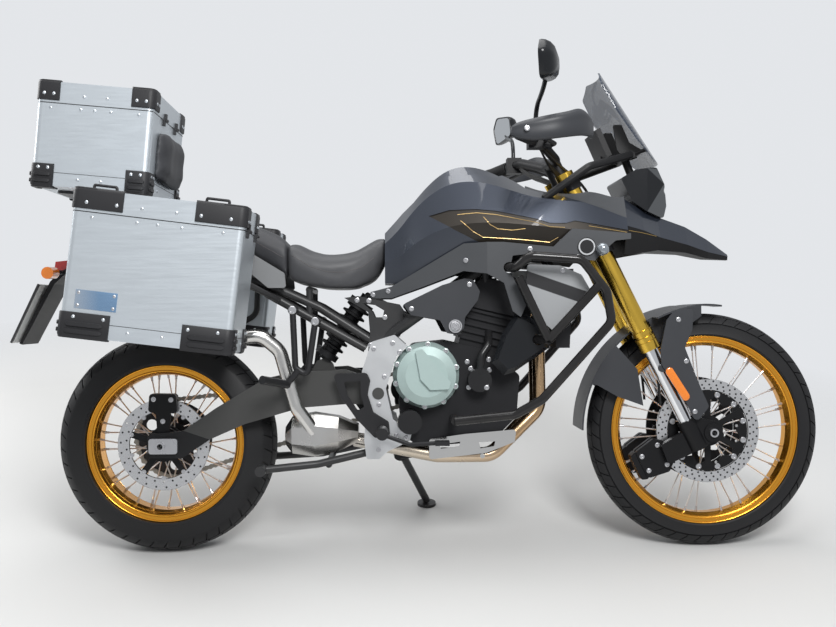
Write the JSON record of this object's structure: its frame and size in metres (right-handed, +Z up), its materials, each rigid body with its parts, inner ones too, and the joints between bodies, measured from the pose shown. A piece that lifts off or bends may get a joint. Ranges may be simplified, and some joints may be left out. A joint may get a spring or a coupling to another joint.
{
  "type": "adventure motorcycle",
  "caption": "Touring motorcycle with spoked wheels, hard side cases, a top case and crash bars, leaning on its side stand; steering, wheels, stands and case lids move.",
  "frame": {"origin": "middle of the parked machine's footprint, on the ground", "axes": "+X the way the machine points, +Y across to the rider's left, +Z up; the machine leans 13 degrees towards +Y"},
  "size_m": [2.3754, 1.1914, 1.4743],
  "materials": {
    "frame_paint": "satin",
    "engine_paint": "satin",
    "cover_paint": "satin",
    "cast_silver": "satin",
    "swingarm_grey": "satin",
    "axle_steel": "satin",
    "spring_paint": "satin",
    "chain_steel": "satin",
    "stainless": "satin",
    "bar_gloss": "gloss",
    "radiator_black": "matte",
    "tank_inner": "matte",
    "panel_paint": "gloss",
    "shroud_grey": "satin",
    "beak_blue": "gloss",
    "lamp_clear": "gloss",
    "screen_clear": "gloss",
    "cockpit_black": "matte",
    "seat_vinyl": "matte",
    "tail_grey": "satin",
    "rack_black": "satin",
    "fender_black": "matte",
    "lamp_plastic": "gloss",
    "case_aluminium": "brushed",
    "pad_vinyl": "matte",
    "peg_steel": "satin",
    "caliper_metal": "satin",
    "clamp_black": "satin",
    "fork_gold": "satin",
    "fork_silver": "satin",
    "bar_metal": "satin",
    "guard_black": "matte",
    "mirror_black": "matte",
    "front_fender_grey": "matte",
    "tyre_rubber": "matte",
    "rim_gold": "gloss",
    "hub_metal": "satin",
    "disc_steel": "satin",
    "stand_black": "satin"
  },
  "bodies": {
    "chassis": {"frame": "frame_paint", "engine_block": "engine_paint", "engine_covers": "cover_paint", "pivot_plates": "cast_silver", "swingarm": "swingarm_grey", "rear_axle": "axle_steel", "rear_shock": "spring_paint", "drive_chain": "chain_steel", "exhaust": "stainless", "crash_bars": "bar_gloss", "radiator": "radiator_black", "tank": "tank_inner", "side_panels": "panel_paint", "shrouds": "shroud_grey", "beak": "beak_blue", "headlight": "lamp_clear", "windscreen": "screen_clear", "display": "cockpit_black", "rider_seat": "seat_vinyl", "passenger_seat": "seat_vinyl", "tail_covers": "tail_grey", "luggage_racks": "rack_black", "rear_fender": "fender_black", "lamps": "lamp_plastic", "pannier_right": "case_aluminium", "pannier_left": "case_aluminium", "top_case": "case_aluminium", "backrest_pad": "pad_vinyl", "footpegs": "peg_steel", "rear_caliper": "caliper_metal"},
    "steering": {"triple_clamps": "clamp_black", "fork_tubes": "fork_gold", "fork_lowers": "fork_silver", "front_calipers": "caliper_metal", "front_axle": "axle_steel", "handlebar": "bar_metal", "handguards": "guard_black", "mirrors": "mirror_black", "front_fender": "front_fender_grey"},
    "front_wheel": {"front_tyre": "tyre_rubber", "front_rim": "rim_gold", "front_hub": "hub_metal", "front_discs": "disc_steel"},
    "rear_wheel": {"rear_tyre": "tyre_rubber", "rear_rim": "rim_gold", "rear_hub": "hub_metal", "rear_disc": "disc_steel"},
    "side_stand_leg": {"side_stand": "stand_black"},
    "centre_stand_legs": {"centre_stand": "stand_black"},
    "right_pannier_lid": {"pannier_right_lid": "case_aluminium"},
    "left_pannier_lid": {"pannier_left_lid": "case_aluminium"},
    "top_lid": {"top_case_lid": "case_aluminium"}
  },
  "joints": [
    {"name": "steering", "type": "hinge", "parent": "chassis", "child": "steering", "pos_m": [0.45263, -0.04056, 0.94397], "axis": [-0.4415, 0.2018, 0.8743], "range_deg": [-35, 35]},
    {"name": "front_wheel_spin", "type": "hinge", "parent": "steering", "child": "front_wheel", "pos_m": [0.84134, -0.18005, 0.33977], "axis": [0, 0.9744, -0.225], "continuous": true},
    {"name": "rear_wheel_spin", "type": "hinge", "parent": "chassis", "child": "rear_wheel", "pos_m": [-0.75866, -0.18584, 0.3147], "axis": [0, 0.9744, -0.225], "continuous": true},
    {"name": "side_stand_swing", "type": "hinge", "parent": "chassis", "child": "side_stand_leg", "pos_m": [-0.06766, -0.05205, 0.22739], "axis": [0.0189, 0.901, 0.4335], "range_deg": [0, 98], "stiffness_Nm_per_rad": 2, "springref_deg": -34.38},
    {"name": "centre_stand_swing", "type": "hinge", "parent": "chassis", "child": "centre_stand_legs", "pos_m": [-0.14966, -0.19056, 0.29426], "axis": [0, -0.9744, 0.225], "range_deg": [0, 80], "stiffness_Nm_per_rad": 8, "springref_deg": -85.94},
    {"name": "right_pannier_lid_hinge", "type": "hinge", "parent": "chassis", "child": "right_pannier_lid", "pos_m": [-0.45922, -0.40234, 0.97063], "axis": [0, 0.9744, -0.225], "range_deg": [0, 95]},
    {"name": "left_pannier_lid_hinge", "type": "hinge", "parent": "chassis", "child": "left_pannier_lid", "pos_m": [-0.45922, 0.29629, 0.80934], "axis": [0, 0.9744, -0.225], "range_deg": [0, 95]},
    {"name": "top_lid_hinge", "type": "hinge", "parent": "chassis", "child": "top_lid", "pos_m": [-0.74869, 0.02684, 1.23593], "axis": [0, 0.9744, -0.225], "range_deg": [0, 95]}
  ]
}
